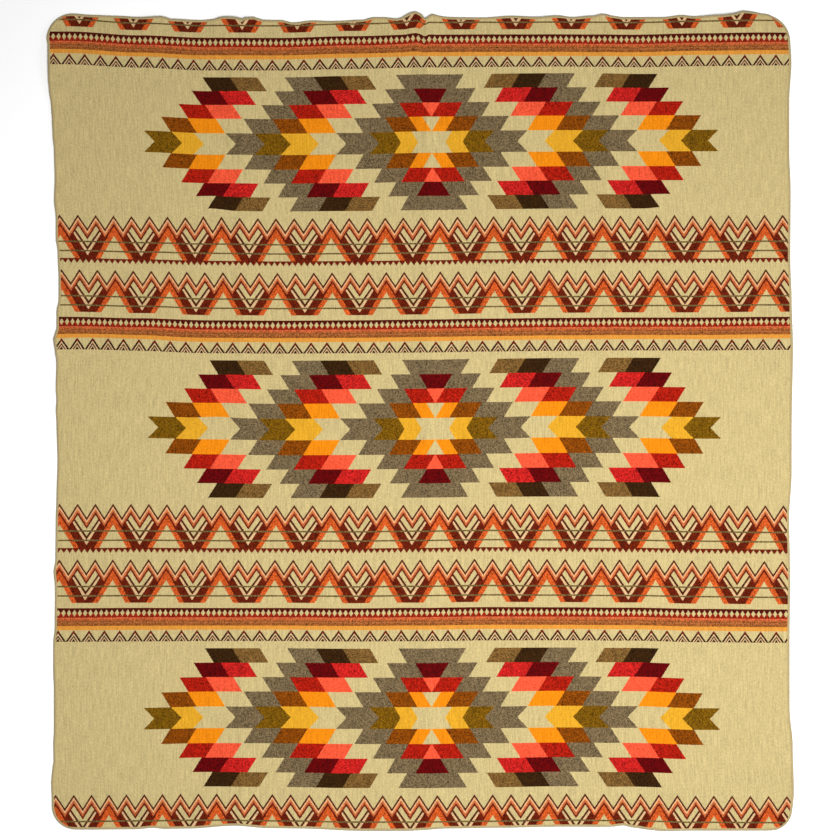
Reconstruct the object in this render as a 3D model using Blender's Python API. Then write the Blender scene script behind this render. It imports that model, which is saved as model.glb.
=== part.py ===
"""Woven alpaca wool blanket, laid out face up on a flat surface.

The blanket is one loom-woven panel with rounded corners and an overcast edge. It lies flat, apart from the
soft lines where it was folded for storage and the places where its edges rise a little.
Metres, +Z up. The origin is under the middle of the blanket, at the surface it lies on. +Y runs along its
length, towards the end where the pattern starts, and +X runs across it.
"""

import math

import bmesh
import bpy

# The cut panel and its cloth
WIDTH = 2.070
LENGTH = 2.283
THICKNESS = 0.003

# Corner radii of the cut panel, by (side, end): side -1 is left and +1 right, end -1 is near and +1 far
CORNER_RADIUS = {(-1, -1): 0.070, (1, -1): 0.056, (-1, 1): 0.042, (1, 1): 0.084}

# How the mesh is divided: ordinary spacing, and the lines kept close to a fold, a corner and an edge
COLUMN_SPACING = 0.064
ROW_SPACING = 0.072
FOLD_COLUMNS = (-1.0, -0.5, 0.0, 0.5, 1.0)
CORNER_STEPS = 5

# Where each edge really lies, as millimetres outside (+) or inside (-) the straight cut line.
# Columns: place along the edge in metres, offset in millimetres
LEFT_EDGE = (
    (-1.10, 0), (-1.01, 4), (-0.89, -5), (-0.68, -4), (-0.53, -8), (-0.41, -5), (-0.25, -11), (-0.06, -14),
    (0.15, -14), (0.21, -8), (0.30, -12), (0.35, -19), (0.44, -17), (0.62, -5), (0.72, -8), (0.83, 0),
    (0.91, 6), (1.01, 14), (1.09, 13),
)
RIGHT_EDGE = (
    (-1.11, 9), (-1.04, 14), (-0.91, 12), (-0.80, 3), (-0.62, 3), (-0.44, 5), (-0.27, 2), (-0.14, 9),
    (-0.03, 9), (0.21, 12), (0.34, 9), (0.46, 5), (0.65, 6), (0.76, 2), (0.90, 2), (1.01, 6), (1.09, 2),
)
FAR_EDGE = (
    (-1.01, -2), (-0.93, -1), (-0.79, -8), (-0.74, -2), (-0.675, -15), (-0.60, -16), (-0.54, -2),
    (-0.49, -5), (-0.42, -16), (-0.34, -22), (-0.21, -16), (-0.12, -5), (-0.075, -11), (-0.023, 9),
    (0.003, 2), (0.031, 1), (0.10, -8), (0.24, -5), (0.34, -6), (0.383, 1), (0.464, -5), (0.518, 6),
    (0.563, -8), (0.69, -8), (0.84, -2), (0.912, 12), (0.97, 1), (1.03, -8),
)
NEAR_EDGE = (
    (-1.00, 6), (-0.82, 9), (-0.65, 6), (-0.52, -2), (-0.42, 5), (-0.34, 6), (-0.17, 12), (-0.04, 12),
    (0.08, 6), (0.22, 4), (0.39, 1), (0.52, 1), (0.62, 5), (0.68, 12), (0.97, 12), (1.03, 9),
)

# Storage folds: soft ridges that run the whole length.
# Columns: place across in metres, half width, height at the near end, height at the far end
FOLDS = (
    (-0.509, 0.045, 0.003, 0.005),
    (0.011, 0.055, 0.004, 0.008),
    (0.523, 0.045, 0.003, 0.006),
)

# Places where an edge stands off the surface.
# Columns: edge, place along it in metres, half length, reach inwards, height at the edge
LIFTS = (
    ("far", -0.760, 0.100, 0.16, 0.005),
    ("far", -0.535, 0.110, 0.22, 0.007),
    ("far", -0.020, 0.100, 0.30, 0.006),
    ("far", 0.383, 0.090, 0.16, 0.005),
    ("far", 0.523, 0.080, 0.24, 0.005),
    ("far", 0.912, 0.120, 0.20, 0.009),
    ("near", -0.105, 0.180, 0.16, 0.004),
    ("near", 0.690, 0.120, 0.18, 0.006),
    ("left", 0.225, 0.090, 0.13, 0.005),
    ("left", 1.000, 0.110, 0.14, 0.006),
    ("right", -1.020, 0.100, 0.14, 0.006),
    ("right", 0.210, 0.130, 0.12, 0.004),
)

WOOL_COLOUR = (0.60, 0.46, 0.21, 1.0)


def remove_everything():
    """Clears the scene, so the blanket is the only thing in it."""
    for thing in list(bpy.data.objects):
        bpy.data.objects.remove(thing, do_unlink=True)


def smooth_step(t):
    """Rises from 0 to 1 with level ends."""
    return t * t * (3.0 - 2.0 * t)


def read_edge(table, along):
    """An edge's offset in metres at a place along it, eased between the table's rows."""
    if along <= table[0][0]:
        return table[0][1] / 1000.0
    for (start, low), (end, high) in zip(table, table[1:]):
        if along <= end:
            share = smooth_step((along - start) / (end - start))
            return (low + (high - low) * share) / 1000.0
    return table[-1][1] / 1000.0


def bump(t):
    """A soft hump, 1 in the middle and exactly 0 from a distance of 1 outwards."""
    return (1.0 - t * t) ** 2 if abs(t) < 1.0 else 0.0


def corner_inset(side, y):
    """How far the rounded corners pull the side in at this place along the length."""
    end = 1 if y > 0.0 else -1
    radius = CORNER_RADIUS[(side, end)]
    into = abs(y) - (LENGTH / 2.0 - radius)
    if into <= 0.0:
        return 0.0
    return radius - math.sqrt(max(radius * radius - into * into, 0.0))


def on_surface(x, y):
    """Moves a point of the straight-cut panel to where the laid-out cloth has it."""
    half_width, half_length = WIDTH / 2.0, LENGTH / 2.0
    left = -half_width - read_edge(LEFT_EDGE, y) + corner_inset(-1, y)
    right = half_width + read_edge(RIGHT_EDGE, y) - corner_inset(1, y)
    near = -half_length - read_edge(NEAR_EDGE, x)
    far = half_length + read_edge(FAR_EDGE, x)
    across = (x + half_width) / WIDTH
    along = (y + half_length) / LENGTH
    return left + (right - left) * across, near + (far - near) * along


def fold_height(x, y):
    """Height of the storage folds over the surface."""
    far_share = (y + LENGTH / 2.0) / LENGTH
    return max(bump((x - place) / half) * (near + (far - near) * far_share) for place, half, near, far in FOLDS)


def lift_height(x, y):
    """Height of the raised stretches of edge over the surface."""
    highest = 0.0
    for edge, place, half, reach, height in LIFTS:
        along, inwards = {
            "far": (x, LENGTH / 2.0 - y),
            "near": (x, LENGTH / 2.0 + y),
            "left": (y, WIDTH / 2.0 + x),
            "right": (y, WIDTH / 2.0 - x),
        }[edge]
        if inwards < reach:
            highest = max(highest, height * bump((along - place) / half) * (1.0 - inwards / reach) ** 2)
    return highest


def spread(start, end, spacing):
    """Evenly spaced places from start to end, without the end itself."""
    count = max(1, round((end - start) / spacing))
    return [start + (end - start) * step / count for step in range(count)]


def column_places():
    """Places across the width: even, with extra ones over each fold."""
    places, last = [], -WIDTH / 2.0
    for fold, half, _, _ in FOLDS:
        places += spread(last, fold - half, COLUMN_SPACING)
        places += [fold + half * share for share in FOLD_COLUMNS[:-1]]
        last = fold + half
    return places + spread(last, WIDTH / 2.0, COLUMN_SPACING) + [WIDTH / 2.0]


def row_places():
    """Places along the length: even, with rows round the corners at equal turns of their arc."""
    radius = max(CORNER_RADIUS.values())
    turns = [math.pi / 2.0 * step / CORNER_STEPS for step in range(CORNER_STEPS + 1)]
    ends = [LENGTH / 2.0 - radius * (1.0 - math.cos(turn)) for turn in turns]
    inner = ends[-1]
    return [-y for y in ends[:-1]] + spread(-inner, inner, ROW_SPACING) + ends[::-1]


def wool_material():
    """Plain undyed wool, the colour of the ground weave."""
    wool = bpy.data.materials.new("undyed wool")
    wool.use_nodes = True
    shader = wool.node_tree.nodes["Principled BSDF"]
    shader.inputs["Base Color"].default_value = WOOL_COLOUR
    shader.inputs["Roughness"].default_value = 0.95
    shader.inputs["Metallic"].default_value = 0.0
    return wool


def blanket():
    """The whole panel: its underside as a sheet of faces, given the cloth's thickness upwards."""
    columns, rows = column_places(), row_places()
    sheet = bmesh.new()
    grid = []
    for y in rows:
        line = []
        for x in columns:
            place_x, place_y = on_surface(x, y)
            height = max(fold_height(x, y), lift_height(x, y))
            line.append(sheet.verts.new((place_x, place_y, height)))
        grid.append(line)
    for near_line, far_line in zip(grid, grid[1:]):
        for a, b, c, d in zip(near_line, near_line[1:], far_line[1:], far_line):
            sheet.faces.new((a, b, c, d))
    mesh = bpy.data.meshes.new("blanket")
    sheet.to_mesh(mesh)
    sheet.free()
    mesh.shade_smooth()
    cloth = bpy.data.objects.new("blanket", mesh)
    bpy.context.scene.collection.objects.link(cloth)
    mesh.materials.append(wool_material())
    thickness = cloth.modifiers.new("cloth thickness", "SOLIDIFY")
    thickness.thickness = THICKNESS
    thickness.offset = 1.0
    thickness.use_even_offset = False
    return cloth


remove_everything()
blanket()
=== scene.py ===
"""Looks of a woven alpaca wool blanket, laid out face up on a flat surface.

The cloth is one sheet on the blanket's folds and raised edges. Its stripes, zigzags and stepped diamonds are
woven by shader nodes on a map that holds each point's place in the straight weave, so they drift as the rows
of a laid-out blanket do. An overcast thread runs round the rim. Metres, +Z up, +Y towards the end where the
pattern starts. Tables are in millimetres where they say so.
"""

import math

import bmesh
import bpy
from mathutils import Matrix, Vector, noise


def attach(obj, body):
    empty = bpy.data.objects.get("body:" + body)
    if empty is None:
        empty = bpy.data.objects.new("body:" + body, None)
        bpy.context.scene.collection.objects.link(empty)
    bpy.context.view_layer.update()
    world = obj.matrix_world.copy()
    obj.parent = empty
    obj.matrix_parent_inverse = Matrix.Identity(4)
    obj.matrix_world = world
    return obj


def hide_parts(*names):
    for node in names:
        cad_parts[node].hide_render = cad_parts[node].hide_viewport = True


bl_info = {
    "name": "Woven alpaca blanket",
    "version": (1, 0, 0),
    "blender": (4, 5, 0),
    "location": "3D View > Sidebar > Blanket",
    "description": "Builds the blanket's cloth, its woven pattern, its overcast edge and a plain stage",
    "category": "Object",
}

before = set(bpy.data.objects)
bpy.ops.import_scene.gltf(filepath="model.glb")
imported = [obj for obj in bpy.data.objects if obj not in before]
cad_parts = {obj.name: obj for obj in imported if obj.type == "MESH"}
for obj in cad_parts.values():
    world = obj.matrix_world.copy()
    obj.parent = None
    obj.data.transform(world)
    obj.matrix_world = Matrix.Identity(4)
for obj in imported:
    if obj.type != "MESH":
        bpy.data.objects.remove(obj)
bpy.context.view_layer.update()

MILLIMETRE = 0.001

# The cut panel, with its corner radii by side (-1 left, +1 right) and end (-1 near, +1 far)
WIDTH = 2.070
LENGTH = 2.283
THICKNESS = 0.003
CORNER_RADIUS = {(-1, -1): 0.064, (1, -1): 0.052, (-1, 1): 0.072, (1, 1): 0.072}

# Where each edge lies: place along it in metres, millimetres outside (+) or inside (-) the straight line
LEFT_EDGE = (
    (-1.07, -1), (-1.01, 1), (-0.98, -2), (-0.95, -6), (-0.90, -5), (-0.87, -7), (-0.75, -7), (-0.70, -5),
    (-0.62, -5), (-0.58, -9), (-0.47, -10), (-0.42, -6), (-0.39, -11), (-0.28, -12), (-0.22, -14),
    (-0.11, -17), (0.00, -14), (0.03, -12), (0.06, -14), (0.09, -12), (0.17, -14), (0.20, -10), (0.23, -6),
    (0.26, -15), (0.31, -14), (0.34, -20), (0.40, -20), (0.48, -17), (0.51, -12), (0.57, -12), (0.62, -7),
    (0.68, -9), (0.76, -7), (0.80, -3), (0.85, -1), (0.88, 1), (0.93, 7), (0.96, 9), (1.05, 10), (1.08, 14),
)
RIGHT_EDGE = (
    (-1.11, 9), (-1.04, 14), (-0.91, 12), (-0.80, 3), (-0.62, 3), (-0.44, 5), (-0.27, 2), (-0.14, 9),
    (-0.03, 9), (0.21, 12), (0.34, 9), (0.46, 5), (0.65, 6), (0.76, 2), (0.90, 2), (1.01, 8), (1.09, 4),
)
FAR_EDGE = (
    (-0.98, 0), (-0.92, -4), (-0.86, -6), (-0.78, -10), (-0.724, -8), (-0.70, -16), (-0.612, -18),
    (-0.584, -16), (-0.556, -9), (-0.515, -10), (-0.504, -19), (-0.491, -12), (-0.47, -10), (-0.44, -18),
    (-0.387, -18), (-0.36, -25), (-0.30, -19), (-0.25, -21), (-0.16, -17), (-0.134, -10), (-0.105, -10),
    (-0.062, -15), (-0.021, 3), (-0.01, 5), (0.003, -2), (0.013, -14), (0.036, -2), (0.064, -8),
    (0.09, -10), (0.17, -11), (0.26, -6), (0.33, -10), (0.387, -6), (0.43, -10), (0.486, -7),
    (0.514, -1), (0.54, -6), (0.57, -10), (0.68, -10), (0.738, -4), (0.77, -8), (0.85, -5), (0.88, -1),
    (0.908, 7), (0.936, 5), (0.964, 0), (1.00, -4),
)
NEAR_EDGE = (
    (-1.00, 8), (-0.95, 9), (-0.80, 8), (-0.75, 4), (-0.72, 7), (-0.65, 6), (-0.52, -2), (-0.42, 5),
    (-0.34, 6), (-0.17, 12), (-0.04, 12), (0.08, 6), (0.22, 4), (0.39, 1), (0.54, 1), (0.571, -3),
    (0.60, 3), (0.65, 9), (0.68, 12), (0.97, 12), (1.03, 9),
)

# Storage folds along the length: place across, half width, height at the near end, height at the far end
FOLDS = (
    (-0.768, 0.030, 0.0008, 0.0010),
    (-0.509, 0.045, 0.003, 0.005),
    (-0.250, 0.030, 0.0008, 0.0010),
    (0.011, 0.055, 0.004, 0.008),
    (0.267, 0.030, 0.0008, 0.0010),
    (0.523, 0.045, 0.003, 0.006),
    (0.785, 0.030, 0.0008, 0.0010),
)

# Places where an edge stands off the surface: edge, place along it, half length, reach inwards, height
LIFTS = (
    ("far", -0.760, 0.100, 0.16, 0.005),
    ("far", -0.535, 0.110, 0.22, 0.007),
    ("far", -0.020, 0.100, 0.30, 0.006),
    ("far", 0.383, 0.090, 0.16, 0.005),
    ("far", 0.523, 0.080, 0.24, 0.005),
    ("far", 0.912, 0.120, 0.20, 0.009),
    ("near", -0.105, 0.180, 0.16, 0.004),
    ("near", 0.690, 0.120, 0.18, 0.006),
    ("left", 0.225, 0.090, 0.13, 0.005),
    ("left", 1.000, 0.110, 0.14, 0.006),
    ("right", -1.020, 0.100, 0.14, 0.006),
    ("right", 0.210, 0.130, 0.12, 0.004),
)

# How the weave strays from straight on the laid-out cloth, in millimetres by place across in metres.
# In between the strays blend. Columns: place, then the far end, first diamonds, upper zigzags, upper
# strip, middle diamonds, lower zigzags, last diamonds and near end
STRAY_DOWN_PLACES = (-1.047, -0.782, -0.509, -0.245, 0.023, 0.433, 0.833, 1.097)
STRAY_DOWN = (
    (-0.985, 3, 0, -4, -7, -5, 0, 5, 4),
    (-0.788, 14, 4, 0, -3, -4, -1, 4, 2),
    (-0.591, 21, 12, 4, 3, 0, 0, 0, 0),
    (-0.394, 21, 13, 6, 4, 3, 0, 0, 2),
    (-0.197, 16, 11, 5, 3, 2, 1, 2, 5),
    (0.000, 12, 7, 3, 1, 1, -1, 2, 5),
    (0.197, 11, 4, 0, -2, -2, -3, 0, 3),
    (0.394, 11, 3, -2, -4, -4, -2, -2, 0),
    (0.591, 12, 2, -2, -5, -4, -1, -1, 1),
    (0.788, 8, 2, -2, -5, -2, 2, 5, 6),
    (0.985, 6, 1, -4, -7, -1, 4, 6, 7),
)
# Columns: place, then the far end, first diamonds, both upper zigzags, upper strip, middle diamonds, both
# lower zigzags, lower strip, last diamonds and near end
STRAY_RIGHT_PLACES = (-1.047, -0.782, -0.509, -0.365, -0.245, 0.023, 0.300, 0.433, 0.571, 0.833, 1.097)
STRAY_RIGHT = (
    (-0.985, -17, -9, 6, 10, 6, 1, 4, 3, -4, -10, -7),
    (-0.788, -18, -9, 3, 8, 4, 1, 0, -1, -7, -10, -13),
    (-0.591, -19, -7, 1, 5, 4, 5, -2, -4, -9, -8, -14),
    (-0.394, -17, -6, 1, 5, 4, 7, 0, -3, -8, -6, -10),
    (-0.197, -14, -7, 3, 6, 6, 4, 2, -2, -5, -7, -6),
    (0.000, -14, -7, 2, 4, 5, 3, 1, -3, -5, -8, -5),
    (0.197, -15, -6, 1, 3, 4, 4, -1, -3, -5, -6, -2),
    (0.394, -11, -7, 1, 4, 4, 1, -1, -3, -4, -7, 2),
    (0.591, -9, -9, 1, 3, 2, -3, -1, -3, -4, -7, 6),
    (0.788, -5, -8, 0, 3, 3, -1, -1, -3, -4, -3, 8),
    (0.985, -5, -8, -2, 2, 3, 1, -1, -4, -4, -3, 9),
)

# Places where the rows bend beside a fold or an edge: place across and down the cloth, half width and half
# length in metres, and how far the rows move towards the near end in millimetres
KINKS = (
    (-0.590, -0.595, 0.075, 0.060, -7),
    (0.690, -0.600, 0.060, 0.050, -5),
    (-0.880, -0.222, 0.200, 0.045, -4),
    (-0.790, -1.010, 0.140, 0.045, -2),
    (0.400, -0.960, 0.320, 0.060, -3),
    (-0.570, 0.000, 0.080, 0.060, -3),
    (0.360, 0.030, 0.160, 0.080, -2),
    (-0.012, -1.120, 0.036, 0.130, -5),
    (0.012, -1.110, 0.014, 0.110, 7),
)

# The pattern's place on the cloth, in metres: its mirror line, and the middle of its middle row of diamonds
MIRROR_LINE = 0.040
MIDDLE_ROW = 0.024

# The weave, in millimetres: its yarns across and along, and the length after which the pattern repeats
WARP_PITCH = 1.5
PICK_PITCH = 1.45
REPEAT = 812.0


def seen(red, green, blue):
    """A colour as the eye sees it, from 0 to 255, turned into the linear values that Blender mixes."""
    shares = [value / 255.0 for value in (red, green, blue)]
    return [s / 12.92 if s <= 0.04045 else ((s + 0.055) / 1.055) ** 2.4 for s in shares]


def yarn(name, description, red, green, blue):
    """A colour setting for one yarn."""
    return bpy.props.FloatVectorProperty(
        name=name, description=description, subtype="COLOR", size=3, min=0.0, max=1.0,
        default=seen(red, green, blue),
    )


def distance(name, description, default, low, high):
    """A setting for a length."""
    return bpy.props.FloatProperty(
        name=name, description=description, subtype="DISTANCE", unit="LENGTH",
        default=default, min=low, max=high,
    )


def factor(name, description, default, high=1.0):
    """A setting for a share."""
    return bpy.props.FloatProperty(
        name=name, description=description, subtype="FACTOR", default=default, min=0.0, max=high,
    )


def power(name, description, default):
    """A setting for a light's power."""
    return bpy.props.FloatProperty(
        name=name, description=description, subtype="POWER", unit="POWER", default=default, min=0.0,
    )


class YarnColours(bpy.types.PropertyGroup):
    """The dyed and undyed yarns."""

    ground: yarn("Ground", "Undyed yarn of the plain field", 193, 174, 121)
    cream: yarn("Cream", "Pale lines inside the zigzag bands", 209, 173, 127)
    soot: yarn("Black brown", "Outer ends of the diamonds' first row", 49, 28, 6)
    bark: yarn("Olive brown", "Heathered brown of the diamonds' first row", 112, 81, 39)
    ash: yarn("Grey", "Heathered grey between the diamonds' colours", 108, 91, 64)
    maroon: yarn("Maroon", "Dark red of the diamonds' second row", 89, 2, 4)
    madder: yarn("Mottled red", "Two-coloured red of the diamonds' second row", 182, 29, 25)
    crimson: yarn("Crimson", "Red of the diamonds' third row", 158, 24, 8)
    coral: yarn("Coral", "Pink-orange of the diamonds' third row", 229, 82, 52)
    brown: yarn("Brown", "Brown of the diamonds' fourth row", 123, 61, 3)
    orange: yarn("Orange", "Orange of the diamonds' fourth row", 227, 131, 14)
    olive: yarn("Olive", "Olive of the diamonds' middle row", 110, 76, 6)
    yellow: yarn("Yellow", "Yellow of the diamonds' middle row", 214, 156, 38)
    outline: yarn("Outline", "Dark line along the top of the zigzags", 74, 30, 9)
    peach: yarn("Peach", "Upper stripe of the zigzags", 220, 165, 117)
    rust: yarn("Rust", "Lower stripe of the zigzags", 186, 98, 54)
    oxblood: yarn("Oxblood", "Lower line of the zigzags", 100, 26, 9)
    wine: yarn("Wine", "Dark ground between the zigzags", 94, 26, 6)
    tangerine: yarn("Tangerine", "Legs between the zigzags", 192, 81, 31)
    moss: yarn("Moss", "Thin lines across the zigzags", 104, 84, 48)
    garnet: yarn("Garnet", "Dark half of the strip of small diamonds", 74, 13, 5)
    red: yarn("Red", "Light half of the strip of small diamonds", 134, 30, 9)
    salmon: yarn("Salmon", "First stripe under the small diamonds", 194, 92, 54)
    copper: yarn("Copper", "Second stripe under the small diamonds", 172, 88, 44)
    umber: yarn("Umber", "Brown stripes under the small diamonds", 143, 80, 35)
    clay: yarn("Clay", "Light line between the brown stripes", 159, 94, 52)
    gold: yarn("Gold", "Last stripe under the small diamonds", 212, 142, 55)
    pitch: yarn("Dark brown", "Flanks of the small triangles", 48, 25, 9)
    blush: yarn("Blush", "Light lines inside the small triangles", 214, 178, 132)
    drab: yarn("Drab", "Inner line of the small triangles", 76, 54, 28)
    thread: yarn("Edge thread", "Overcast thread round the rim", 184, 166, 120)


class ClothSettings(bpy.types.PropertyGroup):
    """Sizes of the woven panel."""

    spacing: distance(
        "Mesh spacing", "Distance between the sheet's ordinary rows and columns", 0.0145, 0.006, 0.1,
    )
    thickness: distance("Thickness", "Thickness of the brushed cloth", THICKNESS, 0.001, 0.006)
    cockle: distance("Cockle", "Height of the cloth's shallow uneven waves", 0.0012, 0.0, 0.004)
    folding: factor("Folding", "How much of the storage folds' height is left in the laid-out cloth", 0.7)
    weave: distance("Weave relief", "Height of the yarns in the weave", 0.0004, 0.0, 0.002)
    nap: factor("Nap", "How much soft light the brushed fibres catch", 0.02)


class EdgeSettings(bpy.types.PropertyGroup):
    """Sizes of the overcast edge."""

    pitch: distance("Stitch pitch", "Distance between two stitches along the rim", 0.0036, 0.002, 0.02)
    reach: distance("Stitch reach", "How far a stitch reaches in from the rim", 0.0065, 0.002, 0.02)
    radius: distance("Thread radius", "Radius of the overcast thread", 0.00075, 0.0002, 0.003)
    unevenness: factor("Unevenness", "How much the stitches differ in reach", 0.12, 0.5)


class StageSettings(bpy.types.PropertyGroup):
    """The plain stage, its lights and the camera."""

    floor: bpy.props.FloatVectorProperty(
        name="Floor colour", description="Colour of the plain floor", subtype="COLOR",
        size=3, min=0.0, max=1.0, default=(0.97, 0.97, 0.97),
    )
    underglow: bpy.props.FloatProperty(
        name="Floor glow", description="Strength of the light that the floor itself gives off", default=0.12,
        min=0.0, max=1.0,
    )
    sky: bpy.props.FloatProperty(
        name="Room light", description="Strength of the even light from all round", default=0.27, min=0.0,
    )
    key: power("Main light", "Power of the large soft light", 111.0)
    side: power("Side light", "Power of the low light from the right", 61.0)
    height: bpy.props.FloatProperty(
        name="Camera height", description="Height of the camera over the floor",
        subtype="DISTANCE", unit="LENGTH", default=8.0, min=2.0,
    )
    framed: bpy.props.FloatProperty(
        name="Framed width", description="Width of floor that the picture takes in",
        subtype="DISTANCE", unit="LENGTH", default=2.363, min=0.5,
    )


class BlanketSettings(bpy.types.PropertyGroup):
    """Everything that a user would change."""

    cloth: bpy.props.PointerProperty(type=ClothSettings)
    edge: bpy.props.PointerProperty(type=EdgeSettings)
    stage: bpy.props.PointerProperty(type=StageSettings)
    yarns: bpy.props.PointerProperty(type=YarnColours)


# Shape of the laid-out cloth

def smooth_step(t):
    """Rises from 0 to 1 with level ends."""
    return t * t * (3.0 - 2.0 * t)


def read_table(table, place, column):
    """A table's value at a place, eased between its rows."""
    if place <= table[0][0]:
        return table[0][column]
    for low, high in zip(table, table[1:]):
        if place <= high[0]:
            share = smooth_step((place - low[0]) / (high[0] - low[0]))
            return low[column] + (high[column] - low[column]) * share
    return table[-1][column]


def read_edge(table, along):
    """An edge's offset in metres at a place along it."""
    return read_table(table, along, 1) * MILLIMETRE


def bump(t):
    """A soft hump, 1 in the middle and exactly 0 from a distance of 1 outwards."""
    return (1.0 - t * t) ** 2 if abs(t) < 1.0 else 0.0


def corner_inset(side, y):
    """How far the rounded corners pull the side in at this place along the length."""
    radius = CORNER_RADIUS[(side, 1 if y > 0.0 else -1)]
    into = abs(y) - (LENGTH / 2.0 - radius)
    if into <= 0.0:
        return 0.0
    return radius - math.sqrt(max(radius * radius - into * into, 0.0))


def on_surface(x, y):
    """Moves a point of the straight-cut panel to where the laid-out cloth has it."""
    half_width, half_length = WIDTH / 2.0, LENGTH / 2.0
    left = -half_width - read_edge(LEFT_EDGE, y) + corner_inset(-1, y)
    right = half_width + read_edge(RIGHT_EDGE, y) - corner_inset(1, y)
    place_x = left + (right - left) * (x + half_width) / WIDTH
    near = -half_length - read_edge(NEAR_EDGE, place_x)
    far = half_length + read_edge(FAR_EDGE, place_x)
    return place_x, near + (far - near) * (y + half_length) / LENGTH


def fold_height(x, y):
    """Height of the storage folds over the surface."""
    far_share = (y + LENGTH / 2.0) / LENGTH
    heights = (
        bump((x - place) / half) * (near + (far - near) * far_share) for place, half, near, far in FOLDS
    )
    return max(heights)


def lift_height(x, y):
    """Height of the raised stretches of edge over the surface."""
    highest = 0.0
    for edge, place, half, reach, height in LIFTS:
        along, inwards = {
            "far": (x, LENGTH / 2.0 - y),
            "near": (x, LENGTH / 2.0 + y),
            "left": (y, WIDTH / 2.0 + x),
            "right": (y, WIDTH / 2.0 - x),
        }[edge]
        if inwards < reach:
            highest = max(highest, height * bump((along - place) / half) * (1.0 - inwards / reach) ** 2)
    return highest


# Lines pressed along the main folds: place of the crest or valley, width of its left and right slope, and
# height (or depth, if negative) at the near and far end
CREASES = (
    (-0.5155, 0.009, 0.008, -0.0010, -0.0012),
    (0.0200, 0.012, 0.028, 0.0010, 0.0020),
    (0.5225, 0.010, 0.012, 0.0006, 0.0012),
)
CREASE_COLUMN = 0.003
# Shallow waves of the cloth: their size, and their share of the height
COCKLES = ((0.16, 0.7), (0.07, 0.3))


def cockle_height(x, y, height):
    """Shallow waves of the cloth, never under the surface it lies on."""
    wave = sum(noise.noise(Vector((x / size, y / size, size))) * share for size, share in COCKLES)
    return max(0.0, wave) * height


def crease_height(x, y):
    """The thin ridge or valley pressed along each main fold."""
    far_share = (y + LENGTH / 2.0) / LENGTH
    height = 0.0
    for place, left, right, near, far in CREASES:
        away = (place - x) / left if x < place else (x - place) / right
        if away < 1.0:
            height += (near + (far - near) * far_share) * (1.0 - smooth_step(away))
    return height


def spread(start, end, spacing):
    """Evenly spaced places from start to end, without the end itself."""
    count = max(1, round((end - start) / spacing))
    return [start + (end - start) * step / count for step in range(count)]


# Width of the strip under the overcast thread, and of the rim's rounding
HEM_WIDTH = 0.005
RIM_ROUNDING = 0.0012


def column_places(spacing):
    """Places across the width: even, with close ones at the hems and over each main fold."""
    inner = WIDTH / 2.0 - HEM_WIDTH
    places, last = [-WIDTH / 2.0, -WIDTH / 2.0 + HEM_WIDTH / 2.0], -inner
    for crest, left, right, _, _ in CREASES:
        places += spread(last, crest - left, spacing)
        places += spread(crest - left, crest, CREASE_COLUMN) + spread(crest, crest + right, CREASE_COLUMN)
        last = crest + right
    places += spread(last, inner, spacing)
    return places + [inner, WIDTH / 2.0 - HEM_WIDTH / 2.0, WIDTH / 2.0]


CORNER_STEPS = 14


def row_places(spacing):
    """Places along the length: even, with rows at the hems and round the corners."""
    radius = max(CORNER_RADIUS.values())
    turns = [math.pi / 2.0 * step / CORNER_STEPS for step in range(CORNER_STEPS + 1)]
    ends = [LENGTH / 2.0 - radius * (1.0 - math.cos(turn)) for turn in turns]
    near_hem = [LENGTH / 2.0 - HEM_WIDTH]
    ends = sorted({round(y, 6) for y in ends + near_hem}, reverse=True)
    inner = ends[-1]
    return [-y for y in ends[:-1]] + spread(-inner, inner, spacing) + ends[::-1]


def stray(table, places, x, down):
    """A stray in metres at a place across and a place towards the near end."""
    column, share = 0, 0.0
    for column, (place, next_place) in enumerate(zip(places, places[1:])):
        share = min(1.0, max(0.0, (down - place) / (next_place - place)))
        if share < 1.0:
            break
    here, there = read_table(table, x, column + 1), read_table(table, x, column + 2)
    return (here + (there - here) * smooth_step(share)) * MILLIMETRE


def kink(x, down):
    """How far the rows bend, in metres, beside a fold or an edge."""
    shifts = (
        bump((x - across) / half) * bump((down - along) / length) * shift
        for across, along, half, length, shift in KINKS
    )
    return sum(shifts) * MILLIMETRE


def woven_place(x, y):
    """Where a point of the laid-out cloth sits in the straight weave: across, and towards the near end."""
    across = x - MIRROR_LINE - stray(STRAY_RIGHT, STRAY_RIGHT_PLACES, x, -y)
    along = -y - MIDDLE_ROW - stray(STRAY_DOWN, STRAY_DOWN_PLACES, x, -y) - kink(x, -y)
    return across, along


# Shader nodes

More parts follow.
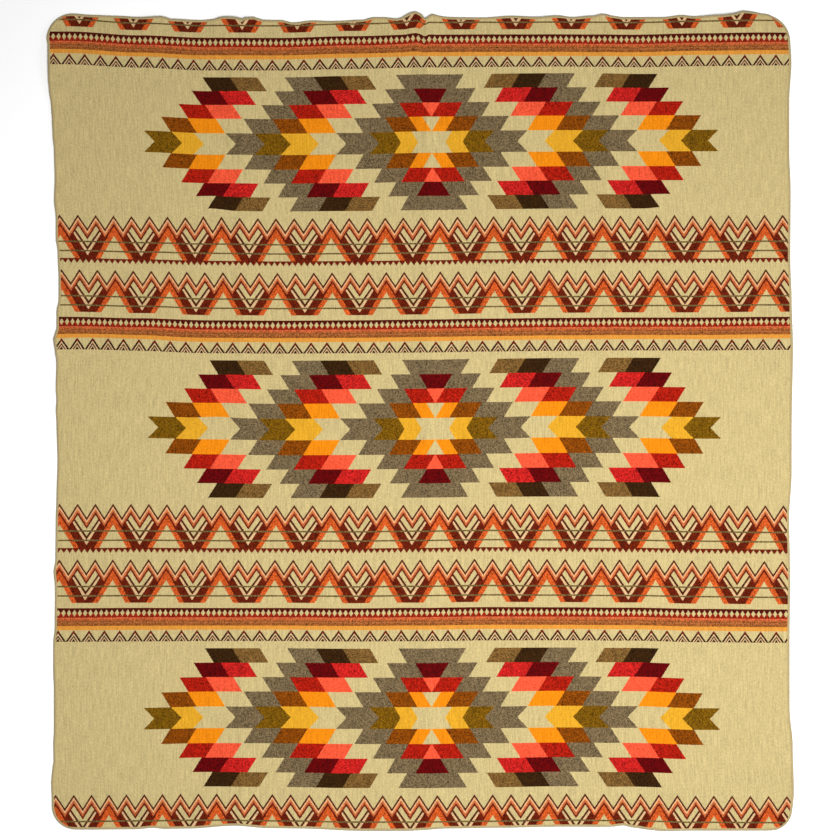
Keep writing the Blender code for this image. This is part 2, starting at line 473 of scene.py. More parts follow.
class Wiring:
    """Adds nodes to a shader's tree, or to a group's, and joins them as they are made."""

    def __init__(self, tree):
        self.tree = tree

    def add(self, kind, **settings):
        """A new node with these settings."""
        node = self.tree.nodes.new(kind)
        for name, value in settings.items():
            setattr(node, name, value)
        return node

    def fed(self, kind, feeds, **settings):
        """A new node with these settings, and its inputs fed by name."""
        node = self.add(kind, **settings)
        for name, value in feeds.items():
            self.feed(node.inputs[name], value)
        return node

    def feed(self, socket, value):
        """Joins a socket to an output, or gives it a fixed value."""
        if isinstance(value, bpy.types.NodeSocket):
            self.tree.links.new(value, socket)
        else:
            socket.default_value = value

    def math(self, operation, *values):
        """One step of arithmetic."""
        node = self.add("ShaderNodeMath", operation=operation)
        for socket, value in zip(node.inputs, values):
            self.feed(socket, value)
        return node.outputs[0]

    def plus(self, first, second):
        """Their sum."""
        return self.math("ADD", first, second)

    def minus(self, first, second):
        """The first less the second."""
        return self.math("SUBTRACT", first, second)

    def times(self, first, second):
        """Their product."""
        return self.math("MULTIPLY", first, second)

    def between(self, value, low, high):
        """1 where a value lies between two limits, else 0."""
        return self.math("COMPARE", value, (low + high) / 2.0, (high - low) / 2.0)

    def both(self, first, second):
        """1 where both conditions are 1, else 0."""
        return self.math("MULTIPLY", first, second)

    def xyz(self, *values):
        """A place or a size made from its parts."""
        node = self.add("ShaderNodeCombineXYZ")
        for socket, value in zip(node.inputs, values):
            self.feed(socket, value)
        return node.outputs[0]

    def noise(self, place, scale, detail=2.0, **settings):
        """Soft noise round a half."""
        feeds = {"Vector": place, "Scale": scale, "Detail": detail}
        return self.fed("ShaderNodeTexNoise", feeds, **settings).outputs[0]

    def specks(self, place):
        """A random value from 0 to 1 for each place."""
        return self.fed("ShaderNodeTexWhiteNoise", {"Vector": place}, noise_dimensions="2D").outputs[0]

    def relief(self, shader, height, depth, strength):
        """Gives a shader small relief."""
        feeds = {"Strength": strength, "Distance": depth, "Height": height}
        self.feed(shader.inputs["Normal"], self.fed("ShaderNodeBump", feeds).outputs[0])

    def over(self, share, under, top):
        """Lays one colour over another."""
        node = self.add("ShaderNodeMix", data_type="RGBA", clamp_factor=True)
        self.feed(node.inputs[0], share)
        for socket, value in ((node.inputs[6], under), (node.inputs[7], top)):
            self.feed(socket, value if isinstance(value, bpy.types.NodeSocket) else (*value[:3], 1.0))
        return node.outputs[2]

    def stripes(self, value, table, length):
        """Flat stripes read along a value: each row of the table is where a stripe starts, and its yarn."""
        node = self.add("ShaderNodeValToRGB")
        ramp = node.color_ramp
        ramp.interpolation = "CONSTANT"
        while len(ramp.elements) < len(table):
            ramp.elements.new(1.0)
        for stop, (start, colour) in zip(ramp.elements, table):
            stop.position = start / length
            stop.color = (*colour[:3], 1.0)
        self.feed(node.inputs[0], self.math("DIVIDE", value, length))
        return node.outputs[0]


def pattern_group(name, with_cover=True):
    """A node group that takes a place in the weave, in millimetres, and gives its colour.

    With a cover it also gives where the figure lies.
    """
    group = bpy.data.node_groups.new(name, "ShaderNodeTree")
    for socket in ("Across", "Along"):
        group.interface.new_socket(socket, in_out="INPUT", socket_type="NodeSocketFloat")
    group.interface.new_socket("Colour", in_out="OUTPUT", socket_type="NodeSocketColor")
    if with_cover:
        group.interface.new_socket("Cover", in_out="OUTPUT", socket_type="NodeSocketFloat")
    wiring = Wiring(group)
    start = wiring.add("NodeGroupInput")
    end = wiring.add("NodeGroupOutput")
    return group, wiring, start.outputs["Across"], start.outputs["Along"], end.inputs


def yarn_table(yarns, rows, start=0.0):
    """Rows of a place and a yarn's name as the place after the start and the yarn's colour."""
    return [(at - start, getattr(yarns, name)) for at, name in rows]


# Zigzag bands, in millimetres. Levels count from the dark line's lowest points towards the near end
ZIGZAG_MOTIF = 153.0
ZIGZAG_ASIDE = 13.7
ZIGZAG_HEIGHT = 39.0
# Slanting stripes under the zigzag line: where each starts, measured straight down from the line
ZIGZAG_STRIPES = ((-5.0, "outline"), (3.4, "peach"), (10.2, "rust"), (18.6, "oxblood"))
ZIGZAG_STRIPES_END = 27.0
STRIPES_REACH = 40.0
# Nested V's under the middle valley: level at the vertex and slope of each upper side
FIRST_V = (46.2, 1.42, "outline")
SECOND_V = (56.8, 1.45, "cream")
THIRD_V = (71.0, 1.58, "wine")
# Legs on each side: level at the middle line, and slope, of the upper and lower side
LEG_UPPER = (117.6, 1.724)
LEG_LOWER = (138.8, 1.625)
BAND_FOOT = 79.0
THIN_LINES = (32.6, 58.5)
THIN_LINE_WIDTH = 4.2
# Row of teeth under the first band only
TOOTH_PITCH = 16.7
TOOTH_ASIDE = 1.4
TOOTH_BAR = 3.0
TOOTH_HEIGHT = 14.5
FIRST_BAND = 257.1
SECOND_BAND = 411.6
BANDS_PART = 360.0


def zigzag_band(yarns):
    """Zigzags with nested V's below them, between orange legs."""
    group, w, across, along, out = pattern_group("zigzag band")
    second = w.math("GREATER_THAN", along, BANDS_PART)
    valley = w.plus(w.times(second, SECOND_BAND - FIRST_BAND), FIRST_BAND)
    level = w.minus(along, valley)
    from_v = w.math("PINGPONG", w.minus(across, ZIGZAG_ASIDE + ZIGZAG_MOTIF / 2.0), ZIGZAG_MOTIF / 2.0)
    half = ZIGZAG_MOTIF / 6.0
    rise = w.times(w.math("PINGPONG", from_v, half), ZIGZAG_HEIGHT / half)
    under = w.plus(level, rise)

    def side(edge):
        """1 below a slanting side that falls towards the middle line."""
        return w.math("GREATER_THAN", w.plus(level, w.times(from_v, edge[1])), edge[0])

    colour = w.over(side(FIRST_V), yarns.ground, yarns.outline)
    colour = w.over(side(SECOND_V), colour, yarns.cream)
    colour = w.over(side(THIRD_V), colour, yarns.wine)
    colour = w.over(side(LEG_UPPER), colour, yarns.tangerine)
    colour = w.over(side(LEG_LOWER), colour, yarns.ground)
    for line in THIN_LINES:
        here = w.between(level, line - THIN_LINE_WIDTH / 2.0, line + THIN_LINE_WIDTH / 2.0)
        colour = w.over(here, colour, yarns.moss)
    start = ZIGZAG_STRIPES[0][0]
    stack = w.stripes(w.minus(under, start), yarn_table(yarns, ZIGZAG_STRIPES, start), STRIPES_REACH)
    colour = w.over(w.between(under, start, ZIGZAG_STRIPES_END), colour, stack)
    cover = w.both(w.math("GREATER_THAN", under, start), w.math("LESS_THAN", level, BAND_FOOT))
    tooth = w.math("PINGPONG", w.plus(across, TOOTH_ASIDE), TOOTH_PITCH / 2.0)
    tooth = w.times(tooth, (TOOTH_HEIGHT - TOOTH_BAR) / (TOOTH_PITCH / 2.0))
    tip = w.plus(tooth, BAND_FOOT + TOOTH_BAR)
    toothed = w.both(w.math("GREATER_THAN", level, BAND_FOOT), w.math("LESS_THAN", level, tip))
    toothed = w.both(toothed, w.minus(1.0, second))
    w.feed(out["Colour"], w.over(toothed, colour, yarns.oxblood))
    w.feed(out["Cover"], w.math("MAXIMUM", cover, toothed))
    return group


# Strip of small diamonds, stripes and small triangles, in millimetres from its dark upper line
STRIP_START = 504.3
STRIP_STRIPES = (
    (0.0, "garnet"), (14.0, "red"), (25.6, "salmon"), (30.8, "copper"), (34.4, "umber"), (39.4, "clay"),
    (42.8, "umber"), (49.8, "gold"), (60.2, "ground"),
)
STRIP_REACH = 100.0
DIAMOND_PITCH = 15.28
DIAMOND_MIDDLE = 13.9
DIAMOND_HALF = (6.1, 9.4)
TRIANGLE_PITCH = 43.9
TRIANGLE_TOP = 61.3
TRIANGLE_FOOT = 93.4
TRIANGLE_SLOPE = 1.40
# Lines inside a triangle: where each starts, measured straight down from its sides
TRIANGLE_LINES = ((0.0, "pitch"), (9.0, "blush"), (13.6, "drab"), (19.8, "blush"))
TRIANGLE_RED_TIP = 10.5
# Dark heart of a triangle: level of its tip, and slope of its sides
TRIANGLE_CORE = (84.4, 1.6)


def diamond_strip(yarns):
    """Small diamonds on red, level stripes, then a row of small triangles."""
    group, w, across, along, out = pattern_group("diamond strip")
    level = w.minus(along, STRIP_START)
    colour = w.stripes(level, yarn_table(yarns, STRIP_STRIPES), STRIP_REACH)
    aside = w.math("PINGPONG", across, DIAMOND_PITCH / 2.0)
    away = w.math("ABSOLUTE", w.minus(level, DIAMOND_MIDDLE))
    reach = w.plus(w.math("DIVIDE", aside, DIAMOND_HALF[0]), w.math("DIVIDE", away, DIAMOND_HALF[1]))
    colour = w.over(w.math("LESS_THAN", reach, 1.0), colour, yarns.ground)
    from_tip = w.math("PINGPONG", across, TRIANGLE_PITCH / 2.0)
    inside = w.minus(w.minus(level, TRIANGLE_TOP), w.times(from_tip, TRIANGLE_SLOPE))
    triangle = w.stripes(inside, yarn_table(yarns, TRIANGLE_LINES), STRIPES_REACH)
    flank = w.math("LESS_THAN", inside, TRIANGLE_LINES[1][0])
    red_tip = w.both(w.math("LESS_THAN", level, TRIANGLE_TOP + TRIANGLE_RED_TIP), flank)
    triangle = w.over(red_tip, triangle, yarns.oxblood)
    core = w.minus(w.minus(level, TRIANGLE_CORE[0]), w.times(from_tip, TRIANGLE_CORE[1]))
    triangle = w.over(w.math("GREATER_THAN", core, 0.0), triangle, yarns.pitch)
    colour = w.over(w.math("GREATER_THAN", inside, 0.0), colour, triangle)
    w.feed(out["Colour"], colour)
    w.feed(out["Cover"], w.between(level, 0.0, TRIANGLE_FOOT))
    return group


# Stepped diamonds, in millimetres: rows out from the middle row, with cells whose sides lean outwards
MIDDLE_ROW_HALF = 31.0
ROW_HEIGHT = 41.0
CELL_LEAN = 0.6
CHEVRON_LEAN = 0.95
CHEVRON_FROM = 120.0
# Cells of each outer row, from its middle outwards: how far from the middle each one ends, and its yarn
DIAMOND_ROWS = (
    (
        (10.5, "ground"), (51.0, "orange"), (115.5, "brown"), (203.5, "ash"), (281.5, "ground"),
        (359.5, "orange"), (435.0, "brown"), (514.5, "ash"), (592.0, "ground"), (669.5, "orange"),
        (745.5, "brown"),
    ),
    (
        (11.0, "coral"), (75.5, "crimson"), (153.0, "ash"), (231.0, "ground"), (309.0, "coral"),
        (385.5, "crimson"), (464.0, "ash"), (541.5, "ground"), (618.5, "coral"), (695.0, "crimson"),
    ),
    (
        (35.0, "maroon"), (114.0, "ash"), (192.0, "ground"), (270.0, "madder"), (345.0, "maroon"),
        (423.5, "ash"), (501.0, "ground"), (578.0, "madder"), (656.0, "maroon"),
    ),
    (
        (83.0, "ash"), (160.5, "ground"), (238.5, "bark"), (313.5, "soot"), (391.5, "ash"),
        (470.5, "ground"), (546.5, "bark"), (624.0, "soot"),
    ),
)
# Chevrons of the middle row: how far from the middle each one ends on the middle line, and its yarn
CHEVRONS = (
    (35.5, "ground"), (85.0, "yellow"), (146.0, "olive"), (237.5, "ash"), (314.5, "ground"),
    (395.0, "yellow"), (469.0, "olive"), (548.0, "ash"), (639.5, "ground"), (701.0, "yellow"),
    (778.0, "olive"),
)
DIAMOND_REACH = 820.0


def cells(yarns, row):
    """Where each cell of a row starts, from the middle outwards, and its yarn."""
    starts = [0.0] + [end for end, _ in row]
    return yarn_table(yarns, [(start, name) for start, (_, name) in zip(starts, row)])


def stepped_diamonds(yarns):
    """The wide stepped diamonds, mirrored about their middle both ways."""
    group, w, across, along, out = pattern_group("stepped diamonds")
    aside = w.math("ABSOLUTE", across)
    away = w.math("ABSOLUTE", along)
    beyond = w.minus(away, MIDDLE_ROW_HALF)
    row_number = w.math("FLOOR", w.math("DIVIDE", beyond, ROW_HEIGHT))
    row_middle = w.plus(w.times(row_number, ROW_HEIGHT), ROW_HEIGHT / 2.0)
    leaning = w.minus(aside, w.times(w.minus(beyond, row_middle), CELL_LEAN))
    lean = w.plus(w.times(w.math("GREATER_THAN", aside, CHEVRON_FROM), CHEVRON_LEAN - CELL_LEAN), CELL_LEAN)
    chevron = w.minus(aside, w.times(away, lean))
    colour = w.stripes(chevron, cells(yarns, CHEVRONS), DIAMOND_REACH)
    cover = w.math("LESS_THAN", chevron, CHEVRONS[-1][0])
    for number, row in enumerate(DIAMOND_ROWS):
        here = w.math("GREATER_THAN", row_number, number - 0.5)
        colour = w.over(here, colour, w.stripes(leaning, cells(yarns, row), DIAMOND_REACH))
        inside = w.math("LESS_THAN", leaning, row[-1][0])
        cover = w.plus(w.times(cover, w.minus(1.0, here)), w.times(here, inside))
    top = MIDDLE_ROW_HALF + ROW_HEIGHT * len(DIAMOND_ROWS)
    cover = w.both(cover, w.math("LESS_THAN", away, top))
    w.feed(out["Colour"], colour)
    w.feed(out["Cover"], cover)
    return group


# Where one repeat of the pattern ends and the next starts, from the middle of a row of stepped diamonds
REPEAT_START = -205.0


def woven_pattern(yarns):
    """The whole face: one repeat of bands along the length, on a plain ground."""
    group, w, across, along, out = pattern_group("woven pattern", with_cover=False)
    turn = w.math("WRAP", along, REPEAT_START, REPEAT_START + REPEAT)
    colour = yarns.ground
    for part in (stepped_diamonds(yarns), zigzag_band(yarns), diamond_strip(yarns)):
        node = w.fed("ShaderNodeGroup", {"Across": across, "Along": turn}, node_tree=part)
        colour = w.over(node.outputs["Cover"], colour, node.outputs["Colour"])
    w.feed(out["Colour"], colour)
    return group


WEAVE_MAP = "weave"
# Heather by a yarn's brightness: two levels of brightness, then the heather's strength at each
HEATHER = (0.12, 0.30, 0.95, 0.18)
# Share of the clumps of four yarns beside the single ones
CLUMP_SHARE = 0.9
# Soft tufts and long streaks in the nap: their changes in each millimetre, and how much they shade
TUFT_SCALE = 0.17
TUFT_SHADE = 0.25
STREAK_ACROSS = 0.26
STREAK_ALONG = 0.02
STREAK_SHADE = 0.5
TUFT_RELIEF = 1.2
WEAVE_STRENGTH = 0.5
# How far the back fades to the ground's colour
BACK_FADE = 0.6
NAP_ROUGHNESS = 0.6


def new_material(name, roughness, specular, nap=0.0):
    """A matt material, its shader and the wiring of its nodes."""
    material = bpy.data.materials.new(name)
    material.use_nodes = True
    shader = material.node_tree.nodes["Principled BSDF"]
    shader.inputs["Roughness"].default_value = roughness
    shader.inputs["Specular IOR Level"].default_value = specular
    shader.inputs["Sheen Weight"].default_value = nap
    shader.inputs["Sheen Roughness"].default_value = NAP_ROUGHNESS
    return material, shader, Wiring(material.node_tree)


def wool(name, settings, pattern, back):
    """Woven wool: the pattern on the yarn grid, heathered and streaked, with relief and a soft nap."""
    material, shader, w = new_material(name, roughness=0.92, specular=0.05, nap=settings.cloth.nap)
    place = w.add("ShaderNodeUVMap", uv_map=WEAVE_MAP)
    parts = w.fed("ShaderNodeSeparateXYZ", {"Vector": place.outputs[0]})
    across = w.times(parts.outputs[0], 1.0 / MILLIMETRE)
    along = w.times(parts.outputs[1], 1.0 / MILLIMETRE)
    across_yarn = w.plus(w.math("SNAP", across, WARP_PITCH), WARP_PITCH / 2.0)
    along_yarn = w.plus(w.math("SNAP", along, PICK_PITCH), PICK_PITCH / 2.0)
    feeds = {"Across": across_yarn, "Along": along_yarn}
    colour = w.fed("ShaderNodeGroup", feeds, node_tree=pattern).outputs["Colour"]
    crossing = w.xyz(across_yarn, along_yarn)
    clump = w.xyz(w.math("SNAP", across, WARP_PITCH * 2.0), w.math("SNAP", along, PICK_PITCH * 2.0))
    grey = w.fed("ShaderNodeRGBToBW", {"Color": colour})
    feeds = dict(zip(("From Min", "From Max", "To Min", "To Max"), HEATHER), Value=grey.outputs[0])
    heather = w.fed("ShaderNodeMapRange", feeds, interpolation_type="SMOOTHSTEP")
    tufts = w.noise(crossing, TUFT_SCALE, noise_dimensions="2D")
    streak_place = w.xyz(w.times(across, STREAK_ACROSS), w.times(along, STREAK_ALONG))
    streaks = w.noise(streak_place, 1.0, noise_dimensions="2D")
    speckle = w.plus(w.specks(crossing), w.times(w.specks(clump), CLUMP_SHARE))
    speckle = w.minus(speckle, (1.0 + CLUMP_SHARE) / 2.0)
    shade = w.plus(w.times(speckle, heather.outputs[0]), 1.0)
    shade = w.plus(shade, w.times(w.minus(tufts, 0.5), TUFT_SHADE))
    shade = w.plus(shade, w.times(w.minus(streaks, 0.5), STREAK_SHADE))
    if back:
        colour = w.over(BACK_FADE, colour, settings.yarns.ground)
    tinted = w.fed("ShaderNodeVectorMath", {"Vector": colour, "Scale": shade}, operation="SCALE")
    w.feed(shader.inputs["Base Color"], tinted.outputs[0])
    ribs = w.times(
        w.math("ABSOLUTE", w.math("SINE", w.times(across, math.pi / WARP_PITCH))),
        w.math("ABSOLUTE", w.math("SINE", w.times(along, math.pi / PICK_PITCH))),
    )
    w.relief(shader, w.plus(ribs, w.times(tufts, TUFT_RELIEF)), settings.cloth.weave, WEAVE_STRENGTH)
    return material


# Fibres and broader patches of the edge thread: their changes in each metre
FIBRE_SCALE = 420.0
PATCH_SCALE = 14.0
# The lightest and darkest of the thread, as shares of its colour
THREAD_LIGHT = 1.2
THREAD_DARK = 0.72
FIBRE_HEIGHT = 0.0004
FIBRE_STRENGTH = 0.4


def thread_wool(name, settings):
    """Spun thread of the overcast edge, also the strip of cloth that it covers."""
    material, shader, w = new_material(name, roughness=0.9, specular=0.2, nap=settings.cloth.nap)
    place = w.add("ShaderNodeTexCoord").outputs["Object"]
    fibres = w.noise(place, FIBRE_SCALE, 3.0)
    share = w.plus(w.times(fibres, 0.5), w.times(w.noise(place, PATCH_SCALE), 0.5))
    light = [min(1.0, value * THREAD_LIGHT) for value in settings.yarns.thread]
    dark = [value * THREAD_DARK for value in settings.yarns.thread]
    w.feed(shader.inputs["Base Color"], w.over(share, dark, light))
    w.relief(shader, fibres, FIBRE_HEIGHT, FIBRE_STRENGTH)
    return material


# Pieces

FACE, BACK, HEM = 0, 1, 2
# Heights of the rim's underside and top over the cloth's own underside, so that the thread fits round it
RIM_UNDERSIDE = 0.0007
RIM_TOP = 0.0026


def link(name, shape):
    """Puts a mesh, a curve, a light or a camera in the scene as an object."""
    piece = bpy.data.objects.new(name, shape)
    bpy.context.scene.collection.objects.link(piece)
    return piece


def blanket_cloth(settings):
    """The whole panel as one closed sheet, with its woven map. Also gives the rim's points in order."""
    cloth = settings.cloth
    columns, rows = column_places(cloth.spacing), row_places(cloth.spacing)
    sheet = bmesh.new()
    last_column, last_row = len(columns) - 1, len(rows) - 1
    under, top = {}, {}
    for j, y in enumerate(rows):
        for i, x in enumerate(columns):
            place_x, place_y = on_surface(x, y)
            height = max(fold_height(x, y) * cloth.folding, lift_height(x, y))
            height += cockle_height(x, y, cloth.cockle)
            height = max(0.0, height + crease_height(place_x, y))
            rim = i in (0, last_column) or j in (0, last_row)
            low = height + (RIM_UNDERSIDE if rim else 0.0)
            high = height + (RIM_TOP if rim else cloth.thickness)
            under[i, j] = sheet.verts.new((place_x, place_y, low))
            top[i, j] = sheet.verts.new((place_x, place_y, high))
    hem_columns = {0, 1, last_column - 2, last_column - 1}
    # The rows are rounded, so the hem's row is looked for from just outside its place
    hem_low = rows.index(next(y for y in rows if y > -LENGTH / 2.0 + HEM_WIDTH * 0.99))
    hem_rows = set(range(hem_low)) | set(range(last_row - hem_low, last_row))
    for j in range(last_row):
        for i in range(last_column):
            corners = ((i, j), (i + 1, j), (i + 1, j + 1), (i, j + 1))
            hem = i in hem_columns or j in hem_rows
            face = sheet.faces.new([top[c] for c in corners])
            face.material_index = HEM if hem else FACE
            face = sheet.faces.new([under[c] for c in reversed(corners)])
            face.material_index = HEM if hem else BACK
    ring = [(i, 0) for i in range(last_column)] + [(last_column, j) for j in range(last_row)]
    ring += [(i, last_row) for i in range(last_column, 0, -1)] + [(0, j) for j in range(last_row, 0, -1)]
    middle = {}
    for before, here, after in zip(ring[-1:] + ring[:-1], ring, ring[1:] + ring[:1]):
        run = (top[after].co - top[before].co).to_2d().normalized()
        outwards = Vector((run.y, -run.x, 0.0)) * RIM_ROUNDING
        point = (top[here].co + under[here].co) / 2.0 + outwards
        middle[here] = sheet.verts.new(point)
    for here, after in zip(ring, ring[1:] + ring[:1]):
        sheet.faces.new((under[here], under[after], middle[after], middle[here])).material_index = HEM
        sheet.faces.new((middle[here], middle[after], top[after], top[here])).material_index = HEM
    woven = sheet.loops.layers.uv.new(WEAVE_MAP)
    places = {vertex: woven_place(vertex.co.x, vertex.co.y) for vertex in sheet.verts}
    for face in sheet.faces:
        for corner in face.loops:
            corner[woven].uv = places[corner.vert]
    rim = [middle[here].co.copy() for here in ring]
    mesh = bpy.data.meshes.new("blanket_cloth")
    sheet.to_mesh(mesh)
    sheet.free()
    mesh.shade_smooth()
    return link("blanket_cloth", mesh), rim


def thread_path(name, points, closed):
    """A path through these points."""
    curve = bpy.data.curves.new(name, "CURVE")
    curve.dimensions = "3D"
    spline = curve.splines.new("POLY")
    spline.points.add(len(points) - 1)
    for knot, point in zip(spline.points, points):
        knot.co = (*point, 1.0)
    spline.use_cyclic_u = closed
    return link(name, curve)


# How far a stitch stands over the cloth
STITCH_LIFT = 0.0006
STITCH_SEED = 7
THREAD_SIDES = 5


def stitch_curve(name, settings):
    """One overcast stitch: a short thread that comes up, slants to the rim and goes round under it.

    +X runs along the rim, +Y points in from it and +Z up, from the middle of the rim.
    """
    edge = settings.edge
    top = RIM_TOP - (RIM_TOP + RIM_UNDERSIDE) / 2.0 + STITCH_LIFT
    bottom = (RIM_TOP + RIM_UNDERSIDE) / 2.0 - edge.radius
    out = -RIM_ROUNDING * 0.3
    # Shares of the pitch, the reach and the rim's rounding, and small heights in metres
    points = (
        (-edge.pitch * 0.5, edge.reach, top - STITCH_LIFT),
        (-edge.pitch * 0.4, edge.reach * 0.75, top + 0.0002),
        (0.0, RIM_ROUNDING * 1.2, top + 0.0001),
        (edge.pitch * 0.1, out, 0.0),
        (0.0, RIM_ROUNDING * 1.2, -bottom),
        (-edge.pitch * 0.3, edge.reach * 0.7, -bottom + 0.0003),
    )
    return thread_path(name, points, closed=False)


def overcast_tree(stitch, material):
    """Geometry Nodes that set a stitch at even steps round a path."""
    tree = bpy.data.node_groups.new("overcast edge", "GeometryNodeTree")
    ask = tree.interface.new_socket
    ask("Geometry", in_out="INPUT", socket_type="NodeSocketGeometry")
    for name in ("Pitch", "Thread Radius", "Unevenness"):
        ask(name, in_out="INPUT", socket_type="NodeSocketFloat")
    ask("Seed", in_out="INPUT", socket_type="NodeSocketInt")
    ask("Geometry", in_out="OUTPUT", socket_type="NodeSocketGeometry")
    w = Wiring(tree)
    start, end = w.add("NodeGroupInput").outputs, w.add("NodeGroupOutput")
    feeds = {"Curve": start["Geometry"], "Length": start["Pitch"]}
    steps = w.fed("GeometryNodeCurveToPoints", feeds, mode="LENGTH").outputs
    source = w.fed("GeometryNodeObjectInfo", {"Object": stitch}, transform_space="ORIGINAL")
    feeds = {"Resolution": THREAD_SIDES, "Radius": start["Thread Radius"]}
    profile = w.fed("GeometryNodeCurvePrimitiveCircle", feeds, mode="RADIUS").outputs["Curve"]
    feeds = {"Curve": source.outputs["Geometry"], "Profile Curve": profile, "Fill Caps": True}
    tube = w.fed("GeometryNodeCurveToMesh", feeds)
    feeds = {"Vector": steps["Tangent"]}
    turn = w.fed("FunctionNodeAlignRotationToVector", feeds, axis="X", pivot_axis="Z")
    jitter = w.add("FunctionNodeRandomValue", data_type="FLOAT")
    w.feed(jitter.inputs[2], w.minus(1.0, start["Unevenness"]))
    w.feed(jitter.inputs[3], w.plus(1.0, start["Unevenness"]))
    w.feed(jitter.inputs["Seed"], start["Seed"])
    place = w.fed("GeometryNodeInstanceOnPoints", {
        "Points": steps["Points"],
        "Instance": tube.outputs["Mesh"],
        "Rotation": turn.outputs[0],
        "Scale": w.xyz(1.0, jitter.outputs[1], 1.0),
    })
    real = w.fed("GeometryNodeRealizeInstances", {"Geometry": place.outputs[0]})
    paint = w.fed("GeometryNodeSetMaterial", {"Geometry": real.outputs[0], "Material": material})
    smooth = w.fed("GeometryNodeSetShadeSmooth", {"Geometry": paint.outputs[0]})
    w.feed(end.inputs[0], smooth.outputs[0])
    return tree


def as_plain_mesh(source, name):
    """The evaluated result of an object as a plain mesh object, with the source removed."""
    bpy.context.view_layer.update()
    evaluated = source.evaluated_get(bpy.context.evaluated_depsgraph_get())
    mesh = bpy.data.meshes.new_from_object(evaluated)
    mesh.name = name
    bpy.data.objects.remove(source, do_unlink=True)
    return link(name, mesh)


def overcast_edge(settings, rim, material):
    """The overcast thread all round the rim, as one mesh."""
    edge = settings.edge
    stitch = stitch_curve("one_stitch", settings)
    path = thread_path("rim_path", rim, closed=True)
    nodes = path.modifiers.new("overcast", "NODES")
    nodes.node_group = overcast_tree(stitch, material)
    values = {
        "Pitch": edge.pitch,
        "Thread Radius": edge.radius,
        "Unevenness": edge.unevenness,
        "Seed": STITCH_SEED,
    }
    for item in nodes.node_group.interface.items_tree:
        if item.name in values:
            nodes[item.identifier] = values[item.name]
    piece = as_plain_mesh(path, "edge_thread")
    bpy.data.objects.remove(stitch, do_unlink=True)
    return piece


# The stage: half the floor's width and its level, and each light's place, target and width
FLOOR_HALF = 12.0
FLOOR_LEVEL = -0.0003
MAIN_LIGHT = ((0.35, -0.50, 3.2), (0.25, -0.30, 0.0), 1.6)
SIDE_LIGHT = ((4.2, -0.8, 1.7), (0.0, 0.0, 0.0), 1.2)
WHITE = (1.0, 1.0, 1.0, 1.0)


def add_floor(settings):
    """A plain pale floor just under the blanket."""
    mesh = bpy.data.meshes.new("floor")
    sides = ((-1, -1), (1, -1), (1, 1), (-1, 1))
    corners = [(x * FLOOR_HALF, y * FLOOR_HALF, FLOOR_LEVEL) for x, y in sides]
    mesh.from_pydata(corners, [], [(0, 1, 2, 3)])
    material, shader, _ = new_material("plain floor", roughness=0.9, specular=0.1)
    shader.inputs["Base Color"].default_value = (*settings.stage.floor, 1.0)
    shader.inputs["Emission Color"].default_value = WHITE
    shader.inputs["Emission Strength"].default_value = settings.stage.underglow
    mesh.materials.append(material)
    return link("floor", mesh)


def add_light(name, watts, light_row):
    """A large soft light that faces a point."""
    place, aim, size = light_row
    light = bpy.data.lights.new(name, "AREA")
    light.shape = "DISK"
    light.size = size
    light.energy = watts
    lamp = link(name, light)
    lamp.location = place
    lamp.rotation_euler = (Vector(aim) - Vector(place)).to_track_quat("-Z", "Y").to_euler()


def add_camera(settings):
    """A camera straight above, with its top towards the far end."""
    stage = settings.stage
    lens = bpy.data.cameras.new("camera")
    lens.sensor_width = 36.0
    lens.sensor_height = 36.0
    lens.lens = lens.sensor_width * stage.height / stage.framed
    lens.clip_end = 100.0
    camera = link("camera", lens)
    camera.location = (0.0, 0.0, stage.height)
    bpy.context.scene.camera = camera


def add_room_light(settings):
    """Even pale light from all round."""
    world = bpy.data.worlds.new("room")
    world.use_nodes = True
    background = world.node_tree.nodes["Background"]
    background.inputs["Color"].default_value = WHITE
    background.inputs["Strength"].default_value = settings.stage.sky
    bpy.context.scene.world = world


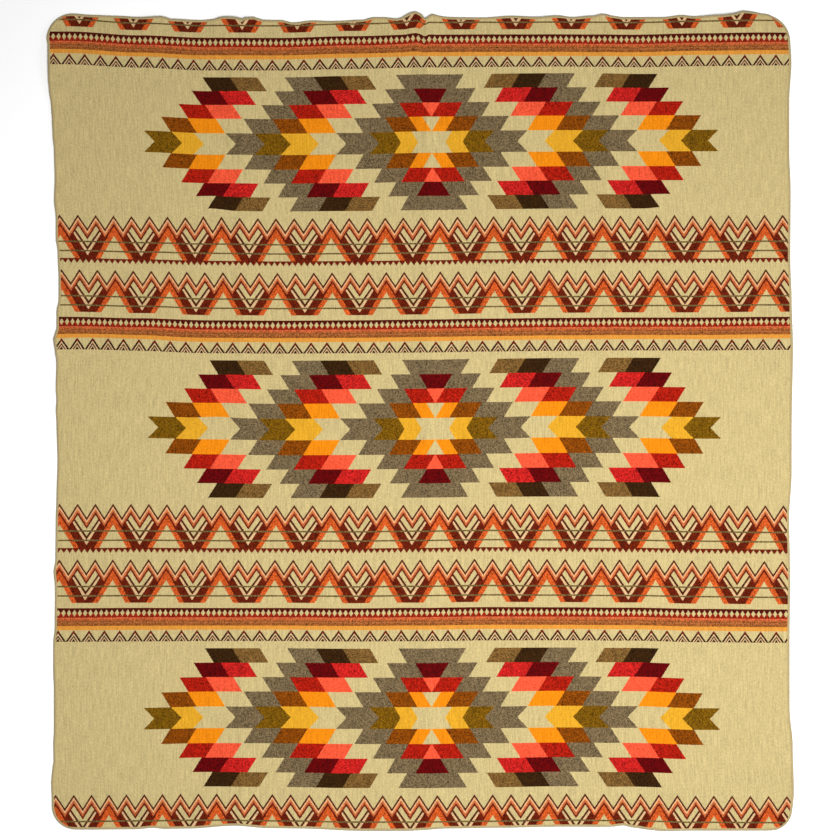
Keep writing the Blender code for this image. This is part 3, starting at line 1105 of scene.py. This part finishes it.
class BLANKET_OT_cloth(bpy.types.Operator):
    """Builds the woven panel and the overcast thread round its rim"""

    bl_idname = "blanket.cloth"
    bl_label = "Cloth and edge"

    def execute(self, context):
        settings = context.scene.blanket
        pattern = woven_pattern(settings.yarns)
        thread = thread_wool("edge thread wool", settings)
        cloth, rim = blanket_cloth(settings)
        cloth.data.materials.append(wool("woven wool", settings, pattern, back=False))
        cloth.data.materials.append(wool("back of the weave", settings, pattern, back=True))
        cloth.data.materials.append(thread)
        edge = overcast_edge(settings, rim, thread)
        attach(cloth, "root")
        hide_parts("blanket")
        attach(edge, "root")
        return {"FINISHED"}


class BLANKET_OT_stage(bpy.types.Operator):
    """Adds the floor, the soft lights and the camera above"""

    bl_idname = "blanket.stage"
    bl_label = "Stage"

    def execute(self, context):
        settings = context.scene.blanket
        add_floor(settings)
        add_room_light(settings)
        add_light("main_light", settings.stage.key, MAIN_LIGHT)
        add_light("side_light", settings.stage.side, SIDE_LIGHT)
        add_camera(settings)
        context.scene.view_settings.view_transform = "Standard"
        return {"FINISHED"}


class BLANKET_PT_panel(bpy.types.Panel):
    """Sizes, colours and steps of the blanket"""

    bl_idname = "BLANKET_PT_panel"
    bl_label = "Blanket"
    bl_space_type = "VIEW_3D"
    bl_region_type = "UI"
    bl_category = "Blanket"

    def draw(self, context):
        settings = context.scene.blanket
        for group in (settings.cloth, settings.edge, settings.stage, settings.yarns):
            box = self.layout.box()
            for name in group.bl_rna.properties.keys():
                if name not in ("rna_type", "name"):
                    box.prop(group, name)
        for operator in OPERATORS:
            self.layout.operator(operator.bl_idname)


GROUPS = (YarnColours, ClothSettings, EdgeSettings, StageSettings, BlanketSettings)
OPERATORS = (BLANKET_OT_stage, BLANKET_OT_cloth)
CLASSES = GROUPS + OPERATORS + (BLANKET_PT_panel,)


def register():
    """Adds the settings, operators and panel."""
    for kind in CLASSES:
        bpy.utils.register_class(kind)
    bpy.types.Scene.blanket = bpy.props.PointerProperty(type=BlanketSettings)


def unregister():
    """Takes them out again."""
    del bpy.types.Scene.blanket
    for kind in reversed(CLASSES):
        bpy.utils.unregister_class(kind)


def main():
    """Builds everything in order."""
    register()
    bpy.ops.blanket.stage()
    bpy.ops.blanket.cloth()


if __name__ == "__main__":
    main()
